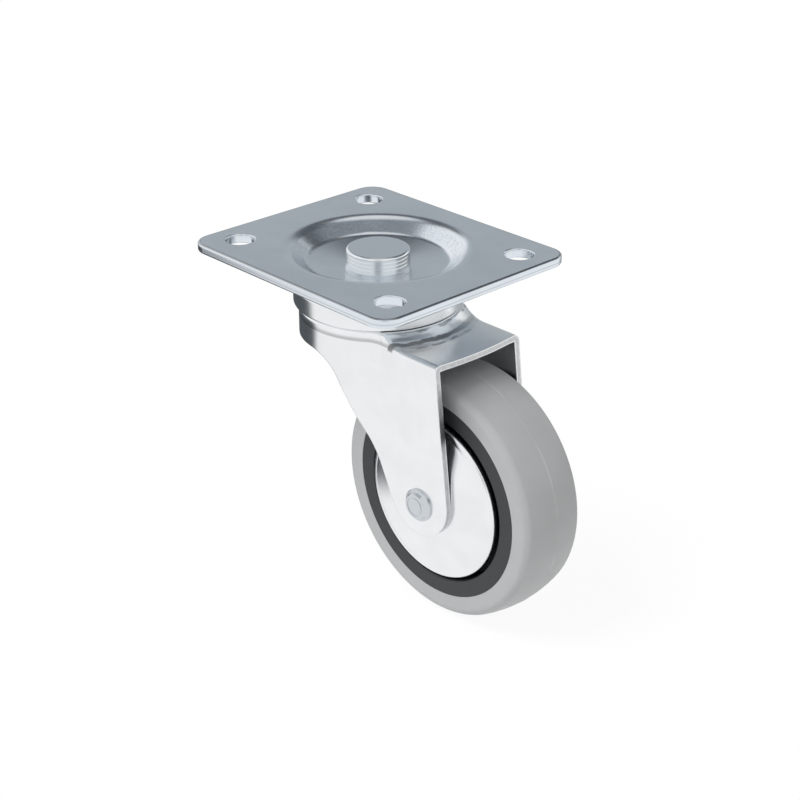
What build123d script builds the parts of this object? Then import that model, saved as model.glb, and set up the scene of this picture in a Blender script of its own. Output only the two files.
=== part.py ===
"""Swivel castor with a bolted top plate, an 80 mm wheel and a pressed steel fork.

Millimetres. The origin is the centre of the plate's top face, on the swivel axis.
+Z is up, +X points along the trail, from the swivel axis to the wheel, and Y is the axle.
"""
from build123d import *
from math import asin, atan2, cos, pi, radians, sin, tan
import os

# Top plate: one pressed sheet with a dish in its middle
plate_length = 87.5
plate_width = 76.5
plate_sheet = 3.0
plate_corner = 6.5
plate_edge_round = 0.8
bolt_edge_x = 10.25
bolt_edge_y = 11.75
bolt_hole_radius = 4.5
bolt_hole_round = 0.4
dish_rim_radius = 27.6
dish_slope_width = 5.8
dish_depth = 4.1
dish_dip = 1.5
dish_bend = 3.2

# Seats of pins and rings that stay fixed to each other
seat_play = 0.03

# Swivel head: king pin, two ball rows and the pressed cups that hold them
pin_shank_radius = 5.0
pin_head_radius = 9.8
pin_head_recess = 0.2
pin_head_round = 0.8
pin_groove_depth = 0.35
pin_groove_width = 0.55
pin_groove_count = 3
pin_groove_pitch = 1.15
pin_first_groove = 1.5
pin_tail_radius = 8.0
pin_tail_height = 3.4
pin_tail_edge = 1.1
pin_tail_top_radius = 4.8
pin_tail_round = 1.1
swivel_ball_radius = 3.0
swivel_ball_gap = 0.3
swivel_ball_play = 0.15
swivel_race_depth = 0.7
upper_ball_pitch = 18.3
ball_row_step = 4.8
cup_sheet = 2.0
cup_ball_gap = 2.65
cup_skirt_gap = 0.5
cup_shoulder_round = 3.0
cup_lip_round = 0.8
lower_cup_rim_gap = 0.5
lower_cup_rim_height = 2.4
lower_cup_round = 1.8

# Fork: one pressed sheet with a domed crown, a round neck and two legs
fork_sheet = 2.0
leg_gap = 4.15
neck_blend = 8.0
neck_height = 9.9
dome_height = 4.8
dome_shoulder = 1.4
dome_step_width = 0.4
dome_edge_margin = 0.3
dome_shelf_width = 4.15
dome_slope_width = 3.0
dome_shoulder_round = 1.8
dome_foot_round = 8.0
dome_step_round = 0.5
fold_radius = 2.0
fold_margin = 0.35
crown_bow = 1.1
pin_clearance = 2.4
leg_root_radius = 12.0
leg_back_angle = 26.0
leg_front_angle = 7.0
leg_foot_radius = 12.1
leg_foot_shift = 0.6
leg_foot_rise = 1.9

# Axle: a rivet through both legs
axle_x = 36.6
axle_radius = 4.0
rivet_flange_width = 0.8
rivet_flange_height = 0.7
rivet_tip_radius = 3.9
rivet_tip_height = 1.95
rivet_tip_slope = 0.5
rivet_tip_step = 0.2
rivet_tip_round = 0.35
rivet_ring_margin = 1.0
rivet_ring_depth = 0.15
rivet_dome_width = 2.0
rivet_dome_height = 2.3
rivet_dome_edge = 0.6
rivet_dome_top_radius = 2.0
rivet_dome_round = 3.0

# Bearings: two shielded deep groove ball bearings with a spacer between them
bearing_ball_radius = 1.985
bearing_ball_play = 0.08
bearing_ball_count = 7
bearing_race_wall = 1.515
bearing_groove_depth = 0.535
cage_thickness = 1.8
cage_side_wall = 0.435
cage_shield_gap = 0.5
shield_sheet = 0.35
shield_inset = 0.15
shield_gap = 0.35
spacer_wall = 1.3

# Thread guards: pressed discs between the legs and the bearings
guard_gap = 1.3
guard_sheet = 1.0
guard_dish = 3.25
guard_flat_margin = 0.8
guard_bend = 30.0
guard_boss_radius = 6.0
guard_boss_height = 1.35
guard_boss_slope = 1.4
guard_rim_depth = 1.5
guard_rim_round = 0.95

# Wheel: a moulded core with a soft tyre moulded on to it
wheel_radius = 40.0
wheel_top_gap = 5.4
tyre_width = 22.8
tyre_thickness = 7.75
tyre_crown = 1.4
tyre_shoulder_width = 1.2
tyre_shoulder_height = 1.6
tyre_shoulder_round = 2.0
core_side_step = 0.2
core_rim_thickness = 5.25
core_rib_height = 2.25
core_rib_width = 8.0
core_web = 6.0
core_edge_round = 0.5
hub_wall = 3.0
hub_shoulder_width = 1.6
hub_chamfer = 0.5

# Hole pattern and dish of the plate
bolt_spacing_x = plate_length - 2 * bolt_edge_x
bolt_spacing_y = plate_width - 2 * bolt_edge_y
dish_floor_radius = dish_rim_radius - dish_slope_width

# Radii of the swivel head, from the shank outwards
pin_bore = pin_shank_radius + seat_play
ball_reach = swivel_ball_radius + swivel_ball_play
lower_ball_pitch = upper_ball_pitch - ball_row_step
cup_skirt_radius = upper_ball_pitch + ball_reach + cup_ball_gap + cup_sheet
dome_radius = upper_ball_pitch + ball_reach + dome_edge_margin
dome_step_radius = dome_radius + dome_step_width
dome_shoulder_radius = dome_step_radius + dome_shelf_width
dome_foot_radius = dome_shoulder_radius + dome_slope_width
neck_radius = dome_step_radius + fold_radius + fold_margin

# Levels of the swivel head, from the plate downwards
pin_seat_z = -(dish_depth + dish_dip)
cup_top_z = pin_seat_z - plate_sheet
cup_web_z = cup_top_z - cup_sheet
upper_ball_z = cup_web_z + swivel_race_depth - ball_reach
fork_top_z = upper_ball_z - ball_reach + swivel_race_depth
fork_under_z = fork_top_z - fork_sheet
lower_ball_z = fork_under_z + swivel_race_depth - ball_reach
lower_web_z = lower_ball_z - ball_reach + swivel_race_depth
lower_cup_z = lower_web_z - cup_sheet
shoulder_z = fork_top_z - dome_shoulder
cup_lip_z = shoulder_z + cup_skirt_gap
neck_bottom_z = shoulder_z - neck_height
crown_z = fork_top_z - dome_height
axle_z = crown_z - fork_sheet - wheel_top_gap - wheel_radius

# Radii of the wheel, from the axle outwards
bearing_wall = bearing_race_wall + bearing_groove_depth
bearing_pitch = axle_radius + bearing_race_wall + bearing_ball_radius
bearing_radius = bearing_pitch + bearing_ball_radius + bearing_race_wall
inner_ring_radius = axle_radius + bearing_wall
outer_ring_bore = bearing_radius - bearing_wall
hub_shoulder_radius = bearing_radius - hub_shoulder_width
hub_radius = bearing_radius + hub_wall
core_radius = wheel_radius - tyre_thickness
core_rim_radius = core_radius - core_rim_thickness
core_rib_radius = core_radius + core_rib_height
guard_flat_radius = hub_radius - guard_flat_margin
guard_radius = core_rim_radius - guard_gap
rivet_flange_radius = rivet_tip_radius + rivet_tip_slope + rivet_flange_width
rivet_ring_radius = rivet_tip_radius - rivet_ring_margin
rivet_dome_radius = axle_radius + rivet_dome_width

# Widths across the wheel, measured out from its middle
core_width = tyre_width - 2 * core_side_step
leg_inner_y = tyre_width / 2 + leg_gap
leg_outer_y = leg_inner_y + fork_sheet
fork_width = 2 * leg_outer_y
pocket_radius = bearing_ball_radius + bearing_ball_play
cage_width = 2 * (pocket_radius + cage_side_wall)
bearing_width = cage_width + 2 * (cage_shield_gap + shield_sheet + shield_inset)
bearing_outer_y = leg_inner_y - guard_sheet - guard_boss_height
bearing_middle_y = bearing_outer_y - bearing_width / 2
bearing_inner_y = bearing_outer_y - bearing_width
axle_line = Axis((axle_x, 0, axle_z), (0, 1, 0))

# A length past every piece, for the spaces that bound or cut the fork
past_all = 2 * (axle_x + wheel_radius + fork_width)
selection_tolerance = 0.01

os.makedirs("parts", exist_ok=True)


def axle_plane(side=1):
    """Section plane through the axle: radius across, distance outward to the given side."""
    return Plane(origin=(axle_x, 0, axle_z), x_dir=(1, 0, 0), z_dir=(0, 0, side))


# Top plate
with BuildPart() as top_plate:
    with BuildSketch():
        RectangleRounded(plate_length, plate_width, plate_corner)
    extrude(amount=-plate_sheet)
    fillet(top_plate.faces().sort_by(Axis.Z)[-1].edges(), plate_edge_round)
    fillet(top_plate.faces().sort_by(Axis.Z)[0].edges(), plate_edge_round)
    dish_slope = atan2(dish_depth, dish_rim_radius - dish_floor_radius)
    under_shift = plate_sheet * tan(dish_slope / 2)
    with BuildSketch(Plane.XZ):
        with BuildLine():
            Polyline(
                (0, -plate_sheet),
                (dish_rim_radius - under_shift, -plate_sheet),
                (dish_floor_radius - under_shift, -dish_depth - plate_sheet),
                (pin_head_radius, pin_seat_z - plate_sheet),
                (0, pin_seat_z - plate_sheet),
                close=True,
            )
        make_face()
        fillet(
            vertices().sort_by_distance((dish_floor_radius - under_shift, -dish_depth - plate_sheet))[0],
            dish_bend + plate_sheet,
        )
    revolve(axis=Axis.Z)
    with BuildSketch(Plane.XZ):
        with BuildLine():
            Polyline(
                (0, plate_sheet),
                (dish_rim_radius + plate_sheet, plate_sheet),
                (dish_rim_radius + plate_sheet, 0),
                (dish_rim_radius, 0),
                (dish_floor_radius, -dish_depth),
                (pin_head_radius, pin_seat_z),
                (0, pin_seat_z),
                close=True,
            )
        make_face()
        fillet(vertices().sort_by_distance((dish_rim_radius, 0))[0], dish_bend + plate_sheet)
        fillet(vertices().sort_by_distance((dish_floor_radius, -dish_depth))[0], dish_bend)
    revolve(axis=Axis.Z, mode=Mode.SUBTRACT)
    with GridLocations(bolt_spacing_x, bolt_spacing_y, 2, 2):
        Hole(bolt_hole_radius)
    hole_edges = top_plate.edges().filter_by(GeomType.CIRCLE)
    hole_edges = hole_edges.filter_by(lambda edge: abs(edge.radius - bolt_hole_radius) < selection_tolerance)
    fillet(hole_edges, bolt_hole_round)
    Hole(pin_bore)
top_plate.part.label = "top_plate"
export_step(top_plate.part, "parts/top_plate.step")

# King pin: a grooved head in the dish, a shank and a riveted tail
pin_tail_z = lower_cup_z - pin_tail_height
with BuildPart() as king_pin:
    with BuildSketch(Plane.XZ):
        with BuildLine():
            Polyline(
                (0, -pin_head_recess),
                (pin_head_radius, -pin_head_recess),
                (pin_head_radius, pin_seat_z),
                (pin_shank_radius, pin_seat_z),
                (pin_shank_radius, lower_cup_z),
                (pin_tail_radius, lower_cup_z),
                (pin_tail_radius, lower_cup_z - pin_tail_edge),
                (pin_tail_top_radius, pin_tail_z),
                (0, pin_tail_z),
                close=True,
            )
        make_face()
        fillet(vertices().sort_by_distance((pin_head_radius, -pin_head_recess))[0], pin_head_round)
        fillet(vertices().sort_by_distance((pin_tail_top_radius, pin_tail_z))[0], pin_tail_round)
        for number in range(pin_groove_count):
            groove_z = -pin_head_recess - pin_first_groove - number * pin_groove_pitch
            with Locations((pin_head_radius, groove_z)):
                Rectangle(2 * pin_groove_depth, pin_groove_width, mode=Mode.SUBTRACT)
    revolve(axis=Axis.Z)
king_pin.part.label = "king_pin"
export_step(king_pin.part, "parts/king_pin.step")

# Upper race cup: its skirt hides the upper ball row
with BuildPart() as upper_race_cup:
    with BuildSketch(Plane.XZ):
        with BuildLine():
            Polyline(
                (pin_bore, cup_top_z),
                (cup_skirt_radius, cup_top_z),
                (cup_skirt_radius, cup_lip_z),
                (cup_skirt_radius - cup_sheet, cup_lip_z),
                (cup_skirt_radius - cup_sheet, cup_web_z),
                (pin_bore, cup_web_z),
                close=True,
            )
        make_face()
        fillet(vertices().sort_by_distance((cup_skirt_radius, cup_top_z))[0], cup_shoulder_round)
        shoulder_inside = (cup_skirt_radius - cup_sheet, cup_web_z)
        fillet(vertices().sort_by_distance(shoulder_inside)[0], cup_shoulder_round - cup_sheet)
        fillet(vertices().sort_by_distance((cup_skirt_radius, cup_lip_z))[0], cup_lip_round)
    revolve(axis=Axis.Z)
    with BuildSketch(Plane.XZ):
        with Locations((upper_ball_pitch, upper_ball_z)):
            Circle(ball_reach)
    revolve(axis=Axis.Z, mode=Mode.SUBTRACT)
upper_race_cup.part.label = "upper_race_cup"
export_step(upper_race_cup.part, "parts/upper_race_cup.step")

# Lower race cup: carries the lower ball row under the crown
lower_rim_inner = lower_ball_pitch + ball_reach + lower_cup_rim_gap
with BuildPart() as lower_race_cup:
    with BuildSketch(Plane.XZ):
        with BuildLine():
            Polyline(
                (pin_bore, lower_cup_z),
                (lower_rim_inner + cup_sheet, lower_cup_z),
                (lower_rim_inner + cup_sheet, lower_web_z + lower_cup_rim_height),
                (lower_rim_inner, lower_web_z + lower_cup_rim_height),
                (lower_rim_inner, lower_web_z),
                (pin_bore, lower_web_z),
                close=True,
            )
        make_face()
        fillet(vertices().sort_by_distance((lower_rim_inner + cup_sheet, lower_cup_z))[0], lower_cup_round)
    revolve(axis=Axis.Z)
    with BuildSketch(Plane.XZ):
        with Locations((lower_ball_pitch, lower_ball_z)):
            Circle(ball_reach)
    revolve(axis=Axis.Z, mode=Mode.SUBTRACT)
lower_race_cup.part.label = "lower_race_cup"
export_step(lower_race_cup.part, "parts/lower_race_cup.step")

# Swivel balls: two full rows without a cage
swivel_rows = (
    ("upper_swivel_balls", upper_ball_pitch, upper_ball_z),
    ("lower_swivel_balls", lower_ball_pitch, lower_ball_z),
)
for row_name, row_pitch, row_z in swivel_rows:
    row_count = int(pi / asin((swivel_ball_radius + swivel_ball_gap / 2) / row_pitch))
    with BuildPart(Plane.XY.offset(row_z)) as swivel_balls:
        with PolarLocations(row_pitch, row_count):
            Sphere(swivel_ball_radius)
    swivel_balls.part.label = row_name
    export_step(swivel_balls.part, f"parts/{row_name}.step")


def fork_envelope(wall, fold):
    """Space under the fork's outer faces, drawn in by a wall thickness, with its top folded over."""
    step_angle = atan2(dome_shoulder, dome_step_width)
    slope_angle = atan2(dome_height - dome_shoulder, dome_slope_width)
    step_shift = wall * tan(step_angle / 2)
    slope_shift = wall * tan(slope_angle / 2)
    step_in = (dome_radius - step_shift, fork_top_z - wall)
    step_out = (dome_step_radius - step_shift, shoulder_z - wall)
    shoulder = (dome_shoulder_radius - slope_shift, shoulder_z - wall)
    foot = (dome_foot_radius - slope_shift, crown_z - wall)
    with BuildPart() as envelope:
        with BuildSketch(Plane.XY.offset(-past_all)):
            Circle(neck_radius - wall)
            Rectangle(past_all / 2, fork_width - 2 * wall, align=(Align.MIN, Align.CENTER))
            fillet(vertices().group_by(Axis.X)[0], neck_blend + wall)
        extrude(amount=past_all)
        with BuildSketch(Plane.XZ):
            with BuildLine():
                Polyline(
                    (0, -past_all),
                    (0, fork_top_z - wall),
                    step_in,
                    step_out,
                    shoulder,
                    foot,
                    (past_all, crown_z - wall),
                    (past_all, -past_all),
                    close=True,
                )
            make_face()
            fillet(vertices().sort_by_distance(foot)[0], dome_foot_round - wall)
            fillet(vertices().sort_by_distance(shoulder)[0], dome_shoulder_round + wall)
            fillet(vertices().sort_by_distance(step_out)[0], dome_step_round)
            fillet(vertices().sort_by_distance(step_in)[0], dome_step_round)
        revolve(axis=Axis.Z, mode=Mode.INTERSECT)
        if fold > 0:
            walls = envelope.faces().filter_by(lambda face: abs(face.normal_at().Z) < selection_tolerance)
            rims = ShapeList([edge for side in walls for edge in side.edges()])
            rim_bottom = crown_z - wall - selection_tolerance
            rim_end = past_all / 2 - selection_tolerance
            rims = rims.filter_by(lambda edge: edge.bounding_box().min.Z > rim_bottom)
            rims = rims.filter_by(lambda edge: edge.bounding_box().min.X < rim_end)
            fillet(rims, fold)
    return envelope.part


fork_outside = fork_envelope(0, fold_radius)
fork_inside = fork_envelope(fork_sheet, 0)

# Side outline of the legs, around the axle
foot_x = axle_x - leg_foot_shift
foot_z = axle_z + leg_foot_rise
back = radians(leg_back_angle)
front = radians(leg_front_angle)
back_foot = (foot_x - leg_foot_radius * cos(back), foot_z - leg_foot_radius * sin(back))
back_top = (back_foot[0] - (neck_bottom_z - back_foot[1]) * tan(back), neck_bottom_z)
front_foot = (foot_x + leg_foot_radius * cos(front), foot_z + leg_foot_radius * sin(front))
crown_x = front_foot[0] - (crown_z - front_foot[1]) * tan(front)
crown_top = (front_foot[0] + front_foot[1] * tan(front), 0)

# Fork
with BuildPart() as fork:
    add(fork_outside)
    add(fork_inside, mode=Mode.SUBTRACT)
    with BuildSketch(Plane.XZ):
        with BuildLine():
            Polyline(
                back_foot,
                back_top,
                (-2 * neck_radius, neck_bottom_z),
                (-2 * neck_radius, 0),
                crown_top,
                front_foot,
            )
            ThreePointArc(
                front_foot,
                (foot_x, foot_z - leg_foot_radius),
                back_foot,
            )
        make_face()
        fillet(vertices().sort_by_distance(back_top)[0], leg_root_radius)
    extrude(amount=fork_width, both=True, mode=Mode.INTERSECT)
    with BuildSketch(Plane.XY.offset(crown_z)):
        with BuildLine():
            Polyline(
                (crown_x, leg_inner_y),
                (crown_x - fork_sheet, leg_inner_y),
                (crown_x - fork_sheet, -leg_inner_y),
                (crown_x, -leg_inner_y),
            )
            ThreePointArc((crown_x, -leg_inner_y), (crown_x + crown_bow, 0), (crown_x, leg_inner_y))
        make_face()
    extrude(amount=-fork_sheet)
    Hole(pin_shank_radius + pin_clearance)
    with BuildSketch(Plane.XZ):
        with Locations((upper_ball_pitch, upper_ball_z), (lower_ball_pitch, lower_ball_z)):
            Circle(ball_reach)
    revolve(axis=Axis.Z, mode=Mode.SUBTRACT)
    with BuildSketch(Plane.XZ):
        with Locations((axle_x, axle_z)):
            Circle(axle_radius + seat_play)
    extrude(amount=fork_width, both=True, mode=Mode.SUBTRACT)
fork.part.label = "fork"
export_step(fork.part, "parts/fork.step")

# Axle rivet: a stepped head on the left leg, a domed head on the right one
with BuildPart() as axle_rivet:
    with BuildSketch(axle_plane(-1)):
        with BuildLine():
            Polyline(
                (0, leg_outer_y + rivet_tip_height),
                (rivet_tip_radius, leg_outer_y + rivet_tip_height),
                (rivet_tip_radius + rivet_tip_slope, leg_outer_y + rivet_flange_height + rivet_tip_step),
                (rivet_flange_radius, leg_outer_y + rivet_flange_height),
                (rivet_flange_radius, leg_outer_y),
                (axle_radius, leg_outer_y),
                (axle_radius, -leg_outer_y),
                (rivet_dome_radius, -leg_outer_y),
                (rivet_dome_radius, -leg_outer_y - rivet_dome_edge),
                (rivet_dome_top_radius, -leg_outer_y - rivet_dome_height),
                (0, -leg_outer_y - rivet_dome_height),
                close=True,
            )
        make_face()
        tip_corner = (rivet_tip_radius, leg_outer_y + rivet_tip_height)
        flange_corner = (rivet_flange_radius, leg_outer_y + rivet_flange_height)
        dome_corner = (rivet_dome_top_radius, -leg_outer_y - rivet_dome_height)
        fillet(vertices().sort_by_distance(tip_corner)[0], rivet_tip_round)
        fillet(vertices().sort_by_distance(flange_corner)[0], rivet_tip_round)
        fillet(vertices().sort_by_distance(dome_corner)[0], rivet_dome_round)
        with Locations((rivet_ring_radius, leg_outer_y + rivet_tip_height)):
            Rectangle(2 * rivet_ring_depth, 2 * rivet_ring_depth, mode=Mode.SUBTRACT)
    revolve(axis=axle_line)
axle_rivet.part.label = "axle_rivet"
export_step(axle_rivet.part, "parts/axle_rivet.step")

# Spacer tube between the two bearings
with BuildPart() as spacer_tube:
    with BuildSketch(axle_plane()):
        with Locations((axle_radius + seat_play, 0)):
            Rectangle(spacer_wall, 2 * bearing_inner_y, align=(Align.MIN, Align.CENTER))
    revolve(axis=axle_line)
spacer_tube.part.label = "spacer_tube"
export_step(spacer_tube.part, "parts/spacer_tube.step")

# Thread guards and bearings, one set on each side of the wheel
for side, hand in ((-1, "left"), (1, "right")):
    guard_edge_y = leg_inner_y - guard_dish
    guard_slope = atan2(guard_dish, guard_radius - guard_flat_radius)
    guard_shift = guard_sheet * tan(guard_slope / 2)
    guard_bore = axle_radius + seat_play
    boss_y = leg_inner_y - guard_boss_height
    with BuildPart() as thread_guard:
        with BuildSketch(axle_plane(side)):
            with BuildLine():
                Polyline(
                    (guard_bore, boss_y),
                    (guard_boss_radius, boss_y),
                    (guard_boss_radius + guard_boss_slope, leg_inner_y),
                    (guard_flat_radius, leg_inner_y),
                    (guard_radius, guard_edge_y),
                    (guard_radius, guard_edge_y - guard_rim_depth),
                    (guard_radius - guard_sheet, guard_edge_y - guard_rim_depth),
                    (guard_radius - guard_sheet, guard_edge_y - guard_sheet + guard_shift),
                    (guard_flat_radius - guard_shift, leg_inner_y - guard_sheet),
                    (guard_boss_radius + guard_boss_slope, leg_inner_y - guard_sheet),
                    (guard_boss_radius, boss_y - guard_sheet),
                    (guard_bore, boss_y - guard_sheet),
                    close=True,
                )
            make_face()
            inner_bend = (guard_flat_radius - guard_shift, leg_inner_y - guard_sheet)
            fillet(vertices().sort_by_distance((guard_radius, guard_edge_y))[0], guard_rim_round)
            fillet(vertices().sort_by_distance((guard_flat_radius, leg_inner_y))[0], guard_bend)
            fillet(vertices().sort_by_distance(inner_bend)[0], guard_bend - guard_sheet)
        revolve(axis=axle_line)
    thread_guard.part.label = f"{hand}_thread_guard"
    export_step(thread_guard.part, f"parts/{hand}_thread_guard.step")

    with BuildPart() as inner_ring:
        with BuildSketch(axle_plane(side)):
            with Locations((axle_radius + seat_play, bearing_middle_y)):
                Rectangle(bearing_wall - seat_play, bearing_width, align=(Align.MIN, Align.CENTER))
            with Locations((bearing_pitch, bearing_middle_y)):
                Circle(pocket_radius, mode=Mode.SUBTRACT)
        revolve(axis=axle_line)
    inner_ring.part.label = f"{hand}_inner_ring"
    export_step(inner_ring.part, f"parts/{hand}_inner_ring.step")

    with BuildPart() as outer_ring:
        with BuildSketch(axle_plane(side)):
            with Locations((bearing_radius, bearing_middle_y)):
                Rectangle(bearing_wall, bearing_width, align=(Align.MAX, Align.CENTER))
            with Locations((bearing_pitch, bearing_middle_y)):
                Circle(pocket_radius, mode=Mode.SUBTRACT)
        revolve(axis=axle_line)
    outer_ring.part.label = f"{hand}_outer_ring"
    export_step(outer_ring.part, f"parts/{hand}_outer_ring.step")

    shield_inner = inner_ring_radius + shield_gap
    shield_width = outer_ring_bore - seat_play - shield_inner
    with BuildPart() as bearing_shields:
        with BuildSketch(axle_plane(side)):
            with Locations((shield_inner, bearing_outer_y - shield_inset)):
                Rectangle(shield_width, shield_sheet, align=(Align.MIN, Align.MAX))
            with Locations((shield_inner, bearing_inner_y + shield_inset)):
                Rectangle(shield_width, shield_sheet, align=(Align.MIN, Align.MIN))
        revolve(axis=axle_line)
    bearing_shields.part.label = f"{hand}_bearing_shields"
    export_step(bearing_shields.part, f"parts/{hand}_bearing_shields.step")

    ball_row = Plane(origin=(axle_x, side * bearing_middle_y, axle_z), x_dir=(1, 0, 0), z_dir=(0, side, 0))
    with BuildPart(ball_row) as bearing_balls:
        with PolarLocations(bearing_pitch, bearing_ball_count):
            Sphere(bearing_ball_radius)
    bearing_balls.part.label = f"{hand}_bearing_balls"
    export_step(bearing_balls.part, f"parts/{hand}_bearing_balls.step")

    with BuildPart(ball_row) as ball_cage:
        Cylinder(bearing_pitch + cage_thickness / 2, cage_width)
        Cylinder(bearing_pitch - cage_thickness / 2, cage_width, mode=Mode.SUBTRACT)
        with PolarLocations(bearing_pitch, bearing_ball_count):
            Cylinder(pocket_radius, 3 * cage_thickness, rotation=(0, 90, 0), mode=Mode.SUBTRACT)
    ball_cage.part.label = f"{hand}_ball_cage"
    export_step(ball_cage.part, f"parts/{hand}_ball_cage.step")

# Wheel core: rim, web and hub in one moulding
with BuildPart() as wheel_core:
    with BuildSketch(axle_plane()):
        with Locations((core_rim_radius, 0)):
            Rectangle(core_radius - core_rim_radius, core_width, align=(Align.MIN, Align.CENTER))
        with Locations((core_rim_radius, 0)):
            Rectangle(core_rib_radius - core_rim_radius, core_rib_width, align=(Align.MIN, Align.CENTER))
        with Locations((hub_shoulder_radius, 0)):
            Rectangle(core_rim_radius - hub_shoulder_radius, core_web, align=(Align.MIN, Align.CENTER))
        with Locations((hub_shoulder_radius, 0)):
            Rectangle(hub_radius - hub_shoulder_radius, 2 * bearing_outer_y, align=(Align.MIN, Align.CENTER))
        with Locations((hub_shoulder_radius, bearing_middle_y), (hub_shoulder_radius, -bearing_middle_y)):
            Rectangle(
                bearing_radius + seat_play - hub_shoulder_radius,
                bearing_width,
                align=(Align.MIN, Align.CENTER),
                mode=Mode.SUBTRACT,
            )
        for end in (-1, 1):
            chamfer(vertices().sort_by_distance((hub_radius, end * bearing_outer_y))[0], hub_chamfer)
            fillet(vertices().sort_by_distance((core_rim_radius, end * core_width / 2))[0], core_edge_round)
    revolve(axis=axle_line)
wheel_core.part.label = "wheel_core"
export_step(wheel_core.part, "parts/wheel_core.step")

# Tyre: crowned tread, rounded shoulders and sides that lean in to the core
tread_half = tyre_width / 2 - tyre_shoulder_width
tread_edge = wheel_radius - tyre_crown
shoulder_edge = tread_edge - tyre_shoulder_height
with BuildPart() as tyre:
    with BuildSketch(axle_plane()):
        with BuildLine():
            ThreePointArc((tread_edge, -tread_half), (wheel_radius, 0), (tread_edge, tread_half))
            Polyline(
                (tread_edge, tread_half),
                (shoulder_edge, tyre_width / 2),
                (core_radius, core_width / 2),
                (core_radius, core_rib_width / 2),
                (core_rib_radius, core_rib_width / 2),
                (core_rib_radius, -core_rib_width / 2),
                (core_radius, -core_rib_width / 2),
                (core_radius, -core_width / 2),
                (shoulder_edge, -tyre_width / 2),
                (tread_edge, -tread_half),
            )
        make_face()
        for end in (-1, 1):
            fillet(vertices().sort_by_distance((tread_edge, end * tread_half))[0], tyre_shoulder_round)
            fillet(vertices().sort_by_distance((shoulder_edge, end * tyre_width / 2))[0], tyre_shoulder_round)
    revolve(axis=axle_line)
tyre.part.label = "tyre"
export_step(tyre.part, "parts/tyre.step")
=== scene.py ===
"""Finishes of a swivel castor: zinc plated pressings, turned pins and a wheel with a moulded tyre.

Metres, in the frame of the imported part: +Z is up, +X is the trail and Y is the axle.
"""
import math

import bmesh
import bpy
from bpy.props import FloatProperty, FloatVectorProperty, IntProperty, PointerProperty
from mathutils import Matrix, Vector


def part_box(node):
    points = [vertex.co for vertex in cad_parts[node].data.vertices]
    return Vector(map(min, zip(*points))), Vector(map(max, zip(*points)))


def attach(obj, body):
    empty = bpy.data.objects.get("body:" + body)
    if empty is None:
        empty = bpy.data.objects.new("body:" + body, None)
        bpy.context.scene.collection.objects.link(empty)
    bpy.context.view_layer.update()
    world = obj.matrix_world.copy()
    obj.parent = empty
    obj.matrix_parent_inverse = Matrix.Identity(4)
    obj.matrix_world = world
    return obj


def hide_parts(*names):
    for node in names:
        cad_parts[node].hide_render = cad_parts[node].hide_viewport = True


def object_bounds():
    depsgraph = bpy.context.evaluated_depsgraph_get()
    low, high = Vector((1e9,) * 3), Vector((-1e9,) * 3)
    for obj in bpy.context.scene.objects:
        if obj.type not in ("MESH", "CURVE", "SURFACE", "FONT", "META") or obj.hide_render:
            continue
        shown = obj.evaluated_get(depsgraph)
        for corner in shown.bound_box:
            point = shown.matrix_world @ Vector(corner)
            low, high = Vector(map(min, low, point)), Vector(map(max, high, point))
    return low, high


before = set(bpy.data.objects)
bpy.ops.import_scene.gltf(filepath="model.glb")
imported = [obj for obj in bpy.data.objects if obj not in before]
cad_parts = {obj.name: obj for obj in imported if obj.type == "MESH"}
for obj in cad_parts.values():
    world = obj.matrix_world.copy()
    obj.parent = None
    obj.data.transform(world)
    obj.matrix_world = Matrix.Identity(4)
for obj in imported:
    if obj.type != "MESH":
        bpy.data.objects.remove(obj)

bl_info = {
    "name": "Swivel castor finishes",
    "version": (1, 0, 0),
    "blender": (4, 5, 0),
    "location": "View3D > Sidebar > Castor",
    "description": "Makes the visible pieces of a swivel castor and paints them",
    "category": "Object",
}

MM = 0.001
FULL_TURN = 2 * math.pi

# Faces that meet at less than this angle are shaded as one surface
SMOOTH_ANGLE = math.radians(28)

# How finely an outline is divided: lengths, turns in degrees and numbers of steps
TREAD_STEPS = 12
LONGEST_RUN = 1.2 * MM
CORNER_RUN = 0.6 * MM
CORNER_TURN = 7
FEWEST_CORNER_STEPS = 4
MOST_CORNER_STEPS = 24
MERGE_DISTANCE = 0.001 * MM

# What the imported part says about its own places
packed_low, packed_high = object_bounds()
tyre_low, tyre_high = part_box("tyre")
guard_low, guard_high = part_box("left_thread_guard")
cup_low, cup_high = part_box("upper_race_cup")
core_low, core_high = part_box("wheel_core")
axle = Vector(((tyre_low.x + tyre_high.x) / 2, 0, (tyre_low.z + tyre_high.z) / 2))
swivel = Vector((0, 0, 0))
tyre_radius = (tyre_high.x - tyre_low.x) / 2

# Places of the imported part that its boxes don't show
CORE_SIDE = 11.2 * MM
PLATE_CORNER = 6.5 * MM
CROWN_UNDERSIDE = -22.3 * MM

# Where each side of the castor lies along Y
SIDES = {"left": -1, "right": 1}

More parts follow.
